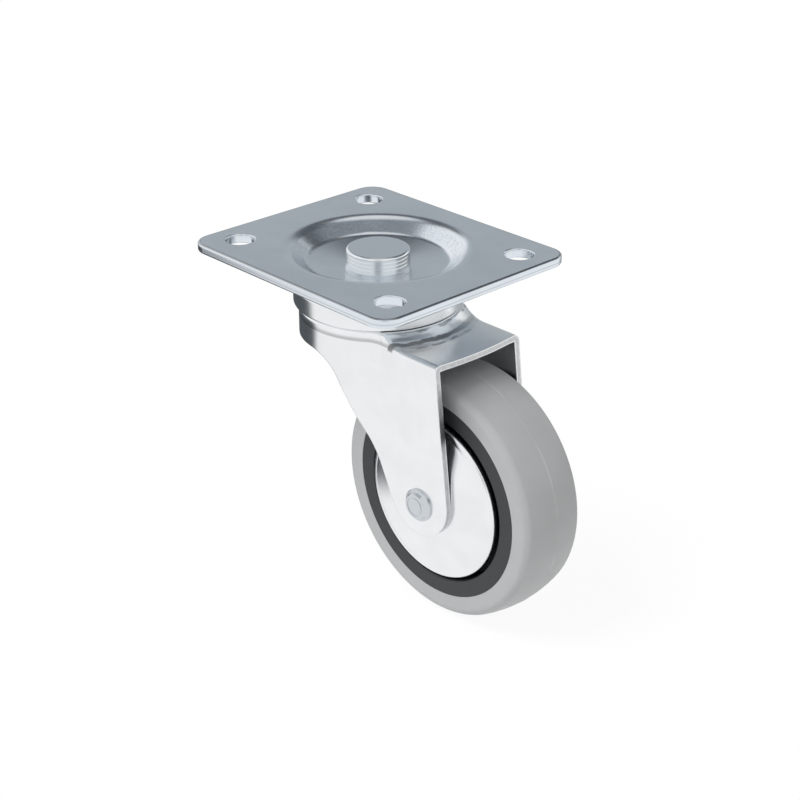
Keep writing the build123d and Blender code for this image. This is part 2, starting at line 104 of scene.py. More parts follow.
# Bands of painted shade, painted reflection and wear, each from where it starts and is full to where it
# fades and ends
FOLD_SHADE_RING = (28.8 * MM, 29.1 * MM, 30.1 * MM, 30.6 * MM)
SECOND_FOLD_SHADE_RING = (31.3 * MM, 31.6 * MM, 32.1 * MM, 32.5 * MM)
FOLD_SHADE_LEVEL = (-22.0 * MM, -20.9 * MM, -19.4 * MM, -18.2 * MM)
SCUFF_AND_SHADE_RING = (26.3 * MM, 26.5 * MM, 26.9 * MM, 27.2 * MM)
CROWN_SHADE_LEVEL = (-20.9 * MM, -20.5 * MM, -20.2 * MM, -19.0 * MM)
CUT_DEPTH = (0.22 * MM, 0.42 * MM, 1.60 * MM, 1.80 * MM)
DISH_WALL = (21.0 * MM, 23.0 * MM, 26.0 * MM, 28.0 * MM)
SHEAR_LEVEL = (-1.95 * MM, -1.75 * MM, -1.55 * MM, -1.35 * MM)
EDGE_REFLECTION_BAND = (0.10 * MM, 0.30 * MM, 0.75 * MM, 1.00 * MM)

# Angle about Z from which the camera looks, in degrees
CAMERA_SIDE = 46.68

# The floor's half length, and how far it stays under the wheel
FLOOR_HALF = 6.0
FLOOR_GAP = 0.02 * MM

# What gloss sees in the studio
PALE = (1.04, 1.04, 1.04)
FAR_WALL = (0.475, 0.505, 0.525)
WALL_GAP = (0.40, 0.42, 0.44)
NEAR_CEILING = (0.27, 0.29, 0.31)
FAR_CEILING = (0.10, 0.11, 0.12)
FAR_LAMP = (0.95, 0.95, 0.95)
BACK_CARD = (0.44, 0.47, 0.50)
SIDE_CARD = (0.09, 0.10, 0.11)


class CastorSizes(bpy.types.PropertyGroup):
    """Sizes of the pieces that are modelled here"""

    turn_steps: IntProperty(
        name="Turn steps",
        description="Faces around a turned piece",
        default=192,
        min=24,
    )
    cup_sheet: FloatProperty(
        name="Cup sheet",
        description="Wall of the upper race cup",
        default=2.0 * MM,
        unit="LENGTH",
    )
    cup_bore: FloatProperty(
        name="Cup bore",
        description="Radius of the upper race cup's hole for the king pin",
        default=5.03 * MM,
        unit="LENGTH",
    )
    cup_lip_drop: FloatProperty(
        name="Cup lip drop",
        description="How much lower the cup's rolled lip reaches than its plain skirt",
        default=0.32 * MM,
        unit="LENGTH",
    )
    guard_sheet: FloatProperty(
        name="Guard sheet",
        description="Wall of a thread guard",
        default=1.0 * MM,
        unit="LENGTH",
    )
    guard_bore: FloatProperty(
        name="Guard bore",
        description="Radius of a thread guard's hole for the axle",
        default=4.03 * MM,
        unit="LENGTH",
    )
    guard_dish: FloatProperty(
        name="Guard dish",
        description="How far a thread guard's edge lies behind its middle",
        default=3.25 * MM,
        unit="LENGTH",
    )
    guard_flat: FloatProperty(
        name="Guard flat",
        description="Radius at which a thread guard starts to fall away",
        default=13.2 * MM,
        unit="LENGTH",
    )
    guard_bend: FloatProperty(
        name="Guard bend",
        description="Radius of the bend between a thread guard's flat and its slope",
        default=30.0 * MM,
        unit="LENGTH",
    )
    guard_boss: FloatProperty(
        name="Guard boss",
        description="Radius of the sunk seat round a thread guard's bore",
        default=6.0 * MM,
        unit="LENGTH",
    )
    guard_boss_depth: FloatProperty(
        name="Guard boss depth",
        description="How deep that seat is sunk",
        default=1.35 * MM,
        unit="LENGTH",
    )
    guard_boss_slope: FloatProperty(
        name="Guard boss slope",
        description="Width of the slope down into that seat",
        default=1.4 * MM,
        unit="LENGTH",
    )
    guard_rim_round: FloatProperty(
        name="Guard rim round",
        description="Radius over which a thread guard's edge is turned",
        default=0.95 * MM,
        unit="LENGTH",
    )
    crease_inset: FloatProperty(
        name="Crease inset",
        description="Distance of the pressed crease from a thread guard's edge",
        default=1.75 * MM,
        unit="LENGTH",
    )
    crease_depth: FloatProperty(
        name="Crease depth",
        description="Depth of that crease",
        default=0.08 * MM,
        unit="LENGTH",
    )
    crease_half: FloatProperty(
        name="Half width of the crease",
        description="Distance from the middle of that crease to its edge",
        default=0.30 * MM,
        unit="LENGTH",
    )
    tyre_half: FloatProperty(
        name="Half width of the tyre",
        description="Distance of the tyre's shoulders from its middle, before they are rounded",
        default=11.4 * MM,
        unit="LENGTH",
    )
    tread_half: FloatProperty(
        name="Half width of the tread",
        description="Distance of the tread's edges from its middle",
        default=10.2 * MM,
        unit="LENGTH",
    )
    tread_crown: FloatProperty(
        name="Crown of the tread",
        description="How much smaller the tread's radius is at its edges",
        default=1.4 * MM,
        unit="LENGTH",
    )
    shoulder_height: FloatProperty(
        name="Shoulder height",
        description="Height of the slope between the tread and a side",
        default=1.6 * MM,
        unit="LENGTH",
    )
    shoulder_round: FloatProperty(
        name="Shoulder round",
        description="Radius of the tyre's soft corners",
        default=2.0 * MM,
        unit="LENGTH",
    )
    tyre_seat: FloatProperty(
        name="Tyre seat",
        description="Radius at which the tyre meets the core",
        default=32.25 * MM,
        unit="LENGTH",
    )
    rib_half: FloatProperty(
        name="Half width of the core's rib",
        description="The rib that holds the tyre reaches this far from the middle",
        default=4.0 * MM,
        unit="LENGTH",
    )
    mould_line_height: FloatProperty(
        name="Mould line height",
        description="How far the tyre's mould line stands out",
        default=0.06 * MM,
        unit="LENGTH",
    )
    mould_line_width: FloatProperty(
        name="Mould line width",
        description="Half the width of the tyre's mould line",
        default=0.30 * MM,
        unit="LENGTH",
    )


class CastorColours(bpy.types.PropertyGroup):
    """Colours of the finishes, as light reflected from them"""

    zinc: FloatVectorProperty(
        name="Zinc",
        description="Bright zinc plating",
        default=(0.845, 0.862, 0.874),
        subtype="COLOR",
        size=3,
    )
    zinc_plate: FloatVectorProperty(
        name="Plate zinc",
        description="Zinc plating of the top plate, a little bluer",
        default=(0.74, 0.79, 0.84),
        subtype="COLOR",
        size=3,
    )
    rivet: FloatVectorProperty(
        name="Rivet zinc",
        description="Duller zinc plating of the axle rivet",
        default=(0.60, 0.63, 0.66),
        subtype="COLOR",
        size=3,
    )
    bearing: FloatVectorProperty(
        name="Bearing steel",
        description="Balls and rings",
        default=(0.62, 0.63, 0.65),
        subtype="COLOR",
        size=3,
    )
    tyre: FloatVectorProperty(
        name="Tyre",
        description="Grey moulded tyre",
        default=(0.422, 0.427, 0.432),
        subtype="COLOR",
        size=3,
    )
    core: FloatVectorProperty(
        name="Core",
        description="Dark grey plastic of the wheel's core",
        default=(0.040, 0.043, 0.046),
        subtype="COLOR",
        size=3,
    )


class CastorStudio(bpy.types.PropertyGroup):
    """Floor, light and camera"""

    azimuth: FloatProperty(
        name="Azimuth",
        description="Camera angle about Z, from the view along +Y",
        default=math.radians(CAMERA_SIDE),
        subtype="ANGLE",
    )
    elevation: FloatProperty(
        name="Elevation",
        description="Camera angle above the horizon",
        default=math.radians(26.34),
        subtype="ANGLE",
    )
    lens: FloatProperty(
        name="Lens",
        description="Focal length on a 36 mm sensor",
        default=76.8,
        subtype="DISTANCE_CAMERA",
    )
    camera_place: FloatVectorProperty(
        name="Camera place",
        description="Where the camera stands",
        default=(0.3562, -0.3268, 0.1875),
        subtype="TRANSLATION",
        size=3,
    )
    key_strength: FloatProperty(
        name="Key",
        description="Strength of the main lamp",
        default=2.1,
    )
    room_strength: FloatProperty(
        name="Room",
        description="Strength of the light from all around",
        default=0.54,
    )


class Tone:
    """A shader socket that can stand in a sum or a product."""

    def __init__(self, finish, socket):
        self.finish = finish
        self.socket = socket

    def combine(self, operation, first, second):
        return self.finish.node("ShaderNodeMath", {"operation": operation}, {0: first, 1: second})

    def __add__(self, other):
        return self.combine("ADD", self, other)

    def __radd__(self, other):
        return self.combine("ADD", other, self)

    def __sub__(self, other):
        return self.combine("SUBTRACT", self, other)

    def __rsub__(self, other):
        return self.combine("SUBTRACT", other, self)

    def __mul__(self, other):
        return self.combine("MULTIPLY", self, other)

    def __rmul__(self, other):
        return self.combine("MULTIPLY", other, self)


class Finish:
    """A material, and the nodes that paint it."""

    def __init__(self, name):
        self.material = bpy.data.materials.new(name)
        self.material.use_nodes = True
        self.tree = self.material.node_tree
        self.shader = self.tree.nodes["Principled BSDF"]
        self.place = self.node("ShaderNodeTexCoord", {}, {}, "Object")

    def node(self, kind, settings, sockets, output=0):
        made = self.tree.nodes.new(kind)
        for name, value in settings.items():
            setattr(made, name, value)
        for name, value in sockets.items():
            self.feed(made.inputs[name], value)
        return Tone(self, made.outputs[output])

    def feed(self, socket, value):
        if isinstance(value, Tone):
            self.tree.links.new(value.socket, socket)
        else:
            socket.default_value = value

    def set(self, **values):
        """Sets or links sockets of the shader, by their names with underscores for spaces."""
        for name, value in values.items():
            self.feed(self.shader.inputs[name.replace("_", " ")], value)

    def vector(self, operation, first, second=None, output="Vector"):
        """What Vector Math makes of one vector or two."""
        sockets = {0: first} if second is None else {0: first, 1: second}
        return self.node("ShaderNodeVectorMath", {"operation": operation}, sockets, output)

    def noise(self, feature_size, stretch=(1, 1, 1), detail=3.0, shift=(0, 0, 0)):
        """Soft spots about as large as feature_size, from 0 to 1."""
        scale = [share / feature_size for share in stretch]
        sockets = {"Vector": self.place, "Scale": scale, "Location": shift}
        place = self.node("ShaderNodeMapping", {}, sockets)
        sockets = {"Vector": place, "Scale": 1.0, "Detail": detail, "Roughness": 0.5}
        return self.node("ShaderNodeTexNoise", {}, sockets, "Fac")

    def between(self, value, low, high, to_low=0.0, to_high=1.0):
        """A value carried over from one range to another, smoothly and without passing its ends."""
        settings = {"interpolation_type": "SMOOTHSTEP"}
        sockets = {"Value": value, "From Min": low, "From Max": high, "To Min": to_low, "To Max": to_high}
        return self.node("ShaderNodeMapRange", settings, sockets)

    def band(self, value, start, full, fading, end):
        """1 where a value lies between full and fading, and 0 before start and past end."""
        return self.between(value, start, full) * self.between(value, end, fading)

    def mix(self, share, first, second):
        """A colour between two colours."""
        sockets = {"Factor": share, "A": rgba(first), "B": rgba(second)}
        return self.node("ShaderNodeMix", {"data_type": "RGBA"}, sockets, "Result")

    def radius(self, centre, flat):
        """Distance from an axis through centre. flat holds 1 for the directions across the axis."""
        shift = [-c * f for c, f in zip(centre, flat)]
        sockets = {"Vector": self.place, "Scale": flat, "Location": shift}
        across = self.node("ShaderNodeMapping", {}, sockets)
        return self.vector("LENGTH", across, output="Value")

    def bearing(self, azimuth, outside, inside):
        """1 where the floor lies the given way from the swivel, 0 past the outside angle."""
        flat = self.node("ShaderNodeMapping", {}, {"Vector": self.place, "Scale": (1, 1, 0)})
        straight = self.vector("NORMALIZE", flat)
        along = self.vector("DOT_PRODUCT", straight, way(azimuth, 0), "Value")
        return self.between(along, math.cos(math.radians(outside)), math.cos(math.radians(inside)))

    def plate_edge(self):
        """Distance in from the plate's outline with its round corners."""
        core = (-packed_low.x - PLATE_CORNER, packed_high.y - PLATE_CORNER, 1.0)
        past = self.vector("SUBTRACT", self.vector("ABSOLUTE", self.place), core)
        past = self.vector("MAXIMUM", past, (0, 0, 0))
        return PLATE_CORNER - self.vector("LENGTH", past, output="Value")

    def sheet_depth(self, half_gap, underside):
        """Depth in the sheet of the fork's legs and crown, counted from its inner faces."""
        folded = self.vector("MULTIPLY", self.vector("ABSOLUTE", self.place), (0, 1, -1))
        past = self.vector("SUBTRACT", folded, (0, half_gap, underside))
        past = self.vector("MAXIMUM", past, (0, 0, 0))
        return self.vector("LENGTH", past, output="Value")

    def height(self):
        """Height of a point of the piece."""
        return self.place_of("Z")

    def place_of(self, axis):
        """One coordinate of a point of the piece."""
        return self.node("ShaderNodeSeparateXYZ", {}, {"Vector": self.place}, axis)

    def ray(self, kind):
        """1 on the rays that Light Path names."""
        return self.node("ShaderNodeLightPath", {}, {}, kind)

    def bump(self, height, distance, strength, under=None):
        """Relief of the given height over the relief under it."""
        sockets = {"Height": height, "Distance": distance, "Strength": strength}
        if under is not None:
            sockets["Normal"] = under
        return self.node("ShaderNodeBump", {}, sockets, "Normal")


def way(azimuth, elevation):
    """The direction at the given angles in degrees, as the camera's are given."""
    a, e = math.radians(azimuth), math.radians(elevation)
    return Vector((math.sin(a) * math.cos(e), -math.cos(a) * math.cos(e), math.sin(e)))


def rgba(colour):
    """A colour with its alpha, or a linked colour as it is."""
    return colour if isinstance(colour, Tone) else (*colour, 1)


def darker(colour, share):
    """A share of a colour's light. A share over 1 makes it paler."""
    return [level * share for level in colour]


def zinc_finish(name, colour, roughness):
    """Bright zinc plating over rolled sheet: faint clouds, fine rolling lines and a fine grain."""
    finish = Finish(name)
    clouds = finish.noise(9 * MM, detail=4.0)
    rolling = finish.noise(0.5 * MM, stretch=(0.04, 1, 1), detail=2.0)
    grain = finish.noise(0.35 * MM, detail=2.0, shift=(3, 1, 2))
    tint = finish.between(clouds, 0.3, 0.7)
    finish.colour = finish.mix(tint, darker(colour, 0.95), colour)
    finish.roughness = roughness + (clouds - 0.5) * 0.10 + (grain - 0.5) * 0.03
    finish.set(Base_Color=finish.colour, Metallic=1.0, Roughness=finish.roughness)
    edges = finish.node("ShaderNodeBevel", {"samples": 6}, {"Radius": 0.35 * MM}, "Normal")
    lines = finish.bump(rolling, 0.004 * MM, 0.4, edges)
    finish.relief = finish.bump(grain, 0.004 * MM, 0.4, lines)
    finish.set(Normal=finish.relief)
    return finish


def fork_finish(name, colour, roughness):
    """Zinc plating of the fork, dull on its cut edges, with painted shade in the fold round the foot of
    its dome and on the crown beside it, and scuffs with painted shade under the cup's lip.
    """
    finish = zinc_finish(name, colour, roughness)
    radius = finish.radius(swivel, (1, 1, 0))
    height = finish.height()
    wander = (finish.noise(3.5 * MM, detail=3.0, shift=(4, 8, 2)) - 0.5) * (1.6 * MM)
    across = finish.place_of("Y")
    broken = finish.between(finish.noise(4.5 * MM, detail=2.0, shift=(6, 1, 5)), 0.42, 0.58)

    # Painted shade in the fold round the dome's foot, fading towards the right leg
    rings = finish.band(radius + wander, *FOLD_SHADE_RING)
    rings = rings + finish.band(radius + wander, *SECOND_FOLD_SHADE_RING) * broken * 0.8
    fading = finish.between(across, 14 * MM, -2 * MM, 0.30, 1.0)
    fold_shade = rings * finish.band(height, *FOLD_SHADE_LEVEL) * fading

    # Painted shade on the crown beside the fold, and scuffs with painted shade on the dome's wall under
    # the cup's lip
    crown_shade = finish.between(radius, 44 * MM, 31 * MM) * finish.between(across, 6 * MM, -12 * MM)
    crown_shade = crown_shade * finish.band(height, *CROWN_SHADE_LEVEL)
    scuffs_and_lip_shade = finish.band(radius + wander * 0.6, *SCUFF_AND_SHADE_RING) * broken
    scuffs_and_lip_shade = scuffs_and_lip_shade * finish.between(height, -20.2 * MM, -19.6 * MM)
    # Painted shade darkens the colour beside the fold and in the fold, and scuffs with painted shade
    # darken it under the cup's lip
    shaded_and_scuffed = finish.mix(crown_shade * 0.8, finish.colour, darker(colour, 0.50))
    shaded_and_scuffed = finish.mix(fold_shade * 0.9, shaded_and_scuffed, darker(colour, 0.22))
    shaded_and_scuffed = finish.mix(scuffs_and_lip_shade * 0.7, shaded_and_scuffed, darker(colour, 0.35))

    # Cut edges of the crown and legs, and not the round neck
    cut = finish.band(finish.sheet_depth(-guard_low.y, CROWN_UNDERSIDE), *CUT_DEPTH)
    away = finish.between(radius, 26.5 * MM, 27.5 * MM) + finish.between(height, -26.9 * MM, -27.3 * MM)
    streaks = finish.noise(1.6 * MM, stretch=(1, 3, 1), detail=4.0, shift=(5, 2, 8))
    cut = cut * finish.between(away, 0, 1) * finish.between(streaks, 0.25, 0.60, 0.55, 1.0)
    finish.set(Base_Color=finish.mix(cut * 0.8, shaded_and_scuffed, darker(colour, 0.50)))
    finish.set(Roughness=finish.roughness + cut * 0.12)
    marks = finish.noise(0.9 * MM, stretch=(1, 1, 2), detail=4.0, shift=(1, 6, 3)) * fold_shade
    finish.set(Normal=finish.bump(marks, 0.10 * MM, 0.6, finish.relief))


def plate_finish(name, colour, roughness):
    """Zinc plating of the pressed plate: stretch marks in its dish, a shear line round its edge and a
    painted dark reflection along its rounded top edge.
    """
    finish = zinc_finish(name, colour, roughness)
    radius = finish.radius(swivel, (1, 1, 0))
    height = finish.height()
    wall = finish.band(radius, *DISH_WALL)
    marks = finish.noise(0.7 * MM, detail=4.0, shift=(7, 5, 3)) * wall
    edge = finish.plate_edge()
    shear = finish.band(height, *SHEAR_LEVEL) * finish.between(edge, 0.9 * MM, 0.5 * MM)
    worn = finish.mix(wall * finish.between(marks, 0.40, 0.62), finish.colour, darker(colour, 0.84))
    stains = finish.between(finish.noise(26 * MM, detail=3.0, shift=(9, 2, 4)), 0.40, 0.66)
    worn = finish.mix(stains * 0.45, worn, darker(colour, 0.86))
    worn = finish.mix(shear * 0.5, worn, darker(colour, 0.55))
    # Painted dark reflection along the plate's rounded top edge
    edge_reflection = finish.band(edge, *EDGE_REFLECTION_BAND) * finish.between(height, -0.60 * MM, -0.40 * MM)
    finish.set(Base_Color=finish.mix(edge_reflection * 0.75, worn, darker(colour, 0.38)))
    finish.set(Normal=finish.bump(marks, 0.05 * MM, 0.5, finish.relief))


def pin_finish(name, side_colour, shaded_top_colour, roughness):
    """Turned zinc plating of the king pin, with painted shade on its flat top, which is darker and bluer
    than the sides.
    """
    finish = turned_finish(name, side_colour, swivel, (1, 1, 0), roughness)
    # Painted shade: the flat top takes a darker, bluer colour than the turned sides
    top = finish.between(finish.height(), -0.60 * MM, -0.35 * MM)
    finish.set(Base_Color=finish.mix(top, finish.colour, darker(shaded_top_colour, 0.96)))


def turned_finish(name, colour, centre, flat, roughness):
    """Zinc plating over turned steel, with the tool's fine rings."""
    finish = Finish(name)
    radius = finish.radius(centre, flat)
    ring_pitch = 0.22 * MM
    rings = finish.node("ShaderNodeMath", {"operation": "SINE"}, {0: radius * (FULL_TURN / ring_pitch)})
    grain = finish.noise(0.4 * MM, detail=2.0)
    finish.colour = finish.mix(grain, darker(colour, 0.96), colour)
    finish.set(
        Base_Color=finish.colour,
        Metallic=1.0,
        Roughness=roughness + (grain - 0.5) * 0.04,
    )
    turned_rings = finish.bump(rings, 0.0010 * MM, 0.5)
    finish.set(Normal=finish.bump(grain, 0.003 * MM, 0.3, turned_rings))
    return finish


def bearing_finish(name, colour, roughness):
    """Ground and polished steel."""
    finish = Finish(name)
    grain = finish.noise(0.3 * MM, detail=2.0)
    finish.set(
        Base_Color=finish.mix(grain, darker(colour, 0.92), colour),
        Metallic=1.0,
        Roughness=roughness + (grain - 0.5) * 0.06,
    )


def tyre_finish(name, colour):
    """Soft grey tread: satin, with a fine moulded grain, faint clouds of tone and a painted highlight in
    broken streaks along the mould line.
    """
    finish = Finish(name)
    clouds = finish.noise(14 * MM, detail=3.0)
    grain = finish.noise(0.45 * MM, detail=3.0, shift=(2, 4, 6))
    body = finish.mix(finish.between(clouds, 0.3, 0.7), darker(colour, 0.95), colour)
    across = finish.radius(swivel, (0, 1, 0))
    # Painted highlight: paler colour in broken streaks along the mould line
    line = finish.between(across, 0.40 * MM, 0.15 * MM) * finish.between(clouds, 0.40, 0.62)
    finish.set(
        Base_Color=finish.mix(line * 0.5, body, darker(colour, 1.3)),
        Roughness=0.5 + (grain - 0.5) * 0.16,
        Normal=finish.bump(grain, 0.012 * MM, 0.5),
    )


def core_finish(name, colour):
    """Dark moulded plastic with a fine matt grain."""
    finish = Finish(name)
    grain = finish.noise(0.3 * MM, detail=3.0)
    clouds = finish.noise(8 * MM, detail=2.0)
    finish.set(
        Base_Color=finish.mix(clouds, darker(colour, 0.9), colour),
        Roughness=0.52 + (grain - 0.5) * 0.2,
        Specular_IOR_Level=0.28,
        Normal=finish.bump(grain, 0.015 * MM, 0.5),
    )


def paint(node, material):
    """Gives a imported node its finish."""
    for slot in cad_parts[node].material_slots:
        slot.material = material


def round_corner(shape, vertex, before, after, radius):
    """Rounds one corner of an outline with an arc."""
    turn = (vertex.co - before).angle(after - vertex.co)
    by_turn = math.ceil(math.degrees(turn) / CORNER_TURN)
    by_run = math.ceil(radius * turn / CORNER_RUN)
    bmesh.ops.bevel(
        shape,
        geom=[vertex],
        offset=radius * math.tan(turn / 2),
        offset_type="OFFSET",
        segments=min(MOST_CORNER_STEPS, max(FEWEST_CORNER_STEPS, by_turn, by_run)),
        profile=0.5,
        affect="VERTICES",
        material=-1,
        clamp_overlap=False,
    )


def turned_piece(name, outline, centre, along, steps, material):
    """A piece turned about an axis. The outline is closed and holds (radius, height, corner radius)."""
    across = Vector((1, 0, 0))
    places = [centre + across * radius + along * height for radius, height, corner in outline]
    shape = bmesh.new()
    vertices = [shape.verts.new(place) for place in places]
    count = len(vertices)
    for number in range(count):
        shape.edges.new((vertices[number], vertices[(number + 1) % count]))
    for number in range(count):
        corner = outline[number][2]
        if corner > 0:
            round_corner(shape, vertices[number], places[number - 1], places[(number + 1) % count], corner)
    for edge in shape.edges[:]:
        pieces = int(edge.calc_length() / LONGEST_RUN)
        if pieces > 1:
            bmesh.ops.subdivide_edges(shape, edges=[edge], cuts=pieces - 1)
    bmesh.ops.spin(
        shape,
        geom=shape.verts[:] + shape.edges[:],
        cent=centre,
        axis=along,
        dvec=(0, 0, 0),
        angle=FULL_TURN,
        steps=steps,
        use_merge=True,
        use_duplicate=False,
    )
    bmesh.ops.remove_doubles(shape, verts=shape.verts, dist=MERGE_DISTANCE)
    bmesh.ops.recalc_face_normals(shape, faces=shape.faces)
    return finished_piece(name, shape, material)


def finished_piece(name, shape, material):
    """Turns a modelled shape into an object with smooth faces and sharp edges."""
    mesh = bpy.data.meshes.new(name)
    shape.to_mesh(mesh)
    shape.free()
    mesh.shade_smooth()
    mesh.set_sharp_from_angle(angle=SMOOTH_ANGLE)
    mesh.materials.append(material)
    piece = bpy.data.objects.new(name, mesh)
    bpy.context.scene.collection.objects.link(piece)
    return piece


def place_piece(piece, body, slot, *nodes):
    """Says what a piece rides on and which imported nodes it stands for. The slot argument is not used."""
    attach(piece, body)
    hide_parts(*nodes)


def finish_named(name):
    """A finish that the first operator made."""
    return bpy.data.materials[name]


def guard_outline(sizes):
    """Section of a thread guard, as radius, distance from the wheel's middle and corner radius."""
    edge = (guard_high.x - guard_low.x) / 2
    face = -guard_low.y
    rim_end = -guard_high.y
    bore = sizes.guard_bore
    seat_round, shoulder_round = 0.4 * MM, 0.6 * MM
    fall = sizes.guard_dish / (edge - sizes.guard_flat)
    shift = sizes.guard_sheet * math.tan(math.atan(fall) / 2)
    seat = face - sizes.guard_boss_depth
    shoulder = sizes.guard_boss + sizes.guard_boss_slope
    crease = edge - sizes.crease_inset

    def face_at(radius, depth=0.0):
        return (radius, face - (radius - sizes.guard_flat) * fall - depth, 0)

    return [
        (bore, seat, 0),
        (sizes.guard_boss, seat, seat_round),
        (shoulder, face, shoulder_round),
        (sizes.guard_flat, face, sizes.guard_bend),
        face_at(crease - sizes.crease_half),
        face_at(crease, sizes.crease_depth),
        face_at(crease + sizes.crease_half),
        (edge, face - sizes.guard_dish, sizes.guard_rim_round),
        (edge, rim_end, 0),
        (edge - sizes.guard_sheet, rim_end, 0),
        (edge - sizes.guard_sheet, face - sizes.guard_dish - sizes.guard_sheet + shift, 0),
        (sizes.guard_flat - shift, face - sizes.guard_sheet, sizes.guard_bend - sizes.guard_sheet),
        (shoulder, face - sizes.guard_sheet, 0),
        (sizes.guard_boss, seat - sizes.guard_sheet, 0),
        (bore, seat - sizes.guard_sheet, 0),
    ]


def cup_outline(sizes):
    """Section of the upper race cup: a flat web and a skirt that ends close above the fork."""
    outside = (cup_high.x - cup_low.x) / 2
    inside = outside - sizes.cup_sheet
    lip = cup_low.z - sizes.cup_lip_drop
    web = cup_high.z - sizes.cup_sheet
    shoulder_round, inner_round = 3.0 * MM, 1.0 * MM
    lip_round, lip_inner_round = 0.7 * MM, 0.3 * MM
    return [
        (sizes.cup_bore, cup_high.z, 0),
        (outside, cup_high.z, shoulder_round),
        (outside, lip, lip_round),
        (inside, lip, lip_inner_round),
        (inside, web, inner_round),
        (sizes.cup_bore, web, 0),
    ]


def tyre_outline(sizes):
    """Section of the tyre: crowned tread with a mould line, soft shoulders and sides that lean in."""
    line, height = sizes.mould_line_width, sizes.mould_line_height
    steps = [sizes.tread_half * step / TREAD_STEPS for step in range(1 - TREAD_STEPS, TREAD_STEPS)]
    ridge = [line * share for share in (-1, -0.5, 0, 0.5, 1)]
    tread = []
    for across in sorted([step for step in steps if abs(step) > line] + ridge):
        crown = (sizes.tread_crown - height) * (across / sizes.tread_half) ** 2
        rise = height * max(0.0, 1 - abs(across) / line)
        tread.append((tyre_radius - height - crown + rise, across, 0))
    tread_edge = tyre_radius - sizes.tread_crown
    shoulder = tread_edge - sizes.shoulder_height
    rib = (core_high.x - core_low.x) / 2
    side = [
        (tread_edge, sizes.tread_half, sizes.shoulder_round),
        (shoulder, sizes.tyre_half, sizes.shoulder_round),
        (sizes.tyre_seat, CORE_SIDE, 0),
        (sizes.tyre_seat, sizes.rib_half, 0),
        (rib, sizes.rib_half, 0),
    ]
    other_side = [(radius, -across, corner) for radius, across, corner in reversed(side)]
    return tread + side + other_side


class CASTOR_OT_finishes(bpy.types.Operator):
    """Make the finishes"""

    bl_idname = "castor.finishes"
    bl_label = "Make the finishes"

    def execute(self, context):
        colours = context.scene.castor_colours
        plate_finish("plate_zinc", colours.zinc_plate, 0.21)
        fork_finish("fork_zinc", colours.zinc, 0.21)
        zinc_finish("cup_zinc", colours.zinc, 0.21)
        zinc_finish("guard_zinc", colours.zinc, 0.24)
        pin_finish("pin_zinc", colours.zinc, colours.zinc_plate, 0.20)
        turned_finish("rivet_zinc", colours.rivet, axle, (1, 0, 1), 0.22)
        bearing_finish("polished_steel", colours.bearing, 0.16)
        bearing_finish("cage_strip", darker(colours.bearing, 0.85), 0.34)
        tyre_finish("tyre_rubber", colours.tyre)
        core_finish("core_moulding", colours.core)
        return {"FINISHED"}


class CASTOR_OT_plate(bpy.types.Operator):
    """Paint the top plate"""

    bl_idname = "castor.plate"
    bl_label = "Top plate"

    def execute(self, context):
        paint("top_plate", finish_named("plate_zinc"))
        return {"FINISHED"}


class CASTOR_OT_swivel_head(bpy.types.Operator):
    """Make the upper race cup and paint the king pin, the lower cup and the swivel balls"""

    bl_idname = "castor.swivel_head"
    bl_label = "Swivel head"

    def execute(self, context):
        paint("king_pin", finish_named("pin_zinc"))
        sizes = context.scene.castor_sizes
        outline = cup_outline(sizes)
        upward = Vector((0, 0, 1))
        zinc = finish_named("cup_zinc")
        cup = turned_piece("upper_cup_skirt", outline, swivel, upward, sizes.turn_steps, zinc)
        place_piece(cup, "plate", "zinc_fork", "upper_race_cup")
        paint("lower_race_cup", finish_named("cup_zinc"))
        paint("upper_swivel_balls", finish_named("polished_steel"))
        paint("lower_swivel_balls", finish_named("polished_steel"))
        return {"FINISHED"}


class CASTOR_OT_fork(bpy.types.Operator):
    """Paint the fork"""

    bl_idname = "castor.fork"
    bl_label = "Fork"

    def execute(self, context):
        paint("fork", finish_named("fork_zinc"))
        return {"FINISHED"}


class CASTOR_OT_axle(bpy.types.Operator):
    """Paint the axle rivet and the spacer tube"""

    bl_idname = "castor.axle"
    bl_label = "Axle"

    def execute(self, context):
        paint("axle_rivet", finish_named("rivet_zinc"))
        paint("spacer_tube", finish_named("rivet_zinc"))
        return {"FINISHED"}


class CASTOR_OT_guards(bpy.types.Operator):
    """Make the thread guards: dished discs with a crease beside their turned rim"""

    bl_idname = "castor.guards"
    bl_label = "Thread guards"

    def execute(self, context):
        sizes = context.scene.castor_sizes
        outline = guard_outline(sizes)
        zinc = finish_named("guard_zinc")
        for hand, side in SIDES.items():
            outward = Vector((0, side, 0))
            disc = turned_piece(f"{hand}_guard_disc", outline, axle, outward, sizes.turn_steps, zinc)
            place_piece(disc, "fork", "zinc_guard", f"{hand}_thread_guard")
        return {"FINISHED"}


class CASTOR_OT_bearings(bpy.types.Operator):
    """Paint the two ball bearings"""

    bl_idname = "castor.bearings"
    bl_label = "Bearings"

    def execute(self, context):
        for side in SIDES:
            for piece in ("inner_ring", "outer_ring", "bearing_balls"):
                paint(f"{side}_{piece}", finish_named("polished_steel"))
            for piece in ("ball_cage", "bearing_shields"):
                paint(f"{side}_{piece}", finish_named("cage_strip"))
        return {"FINISHED"}


class CASTOR_OT_wheel(bpy.types.Operator):
    """Make the tyre and paint the wheel's core"""

    bl_idname = "castor.wheel"
    bl_label = "Wheel"

    def execute(self, context):
        paint("wheel_core", finish_named("core_moulding"))
        sizes = context.scene.castor_sizes
        outline = tyre_outline(sizes)
        outward = Vector((0, 1, 0))
        rubber = finish_named("tyre_rubber")
        tread = turned_piece("tyre_tread", outline, axle, outward, sizes.turn_steps, rubber)
        place_piece(tread, "wheel", "grey_tyre", "tyre")
        return {"FINISHED"}


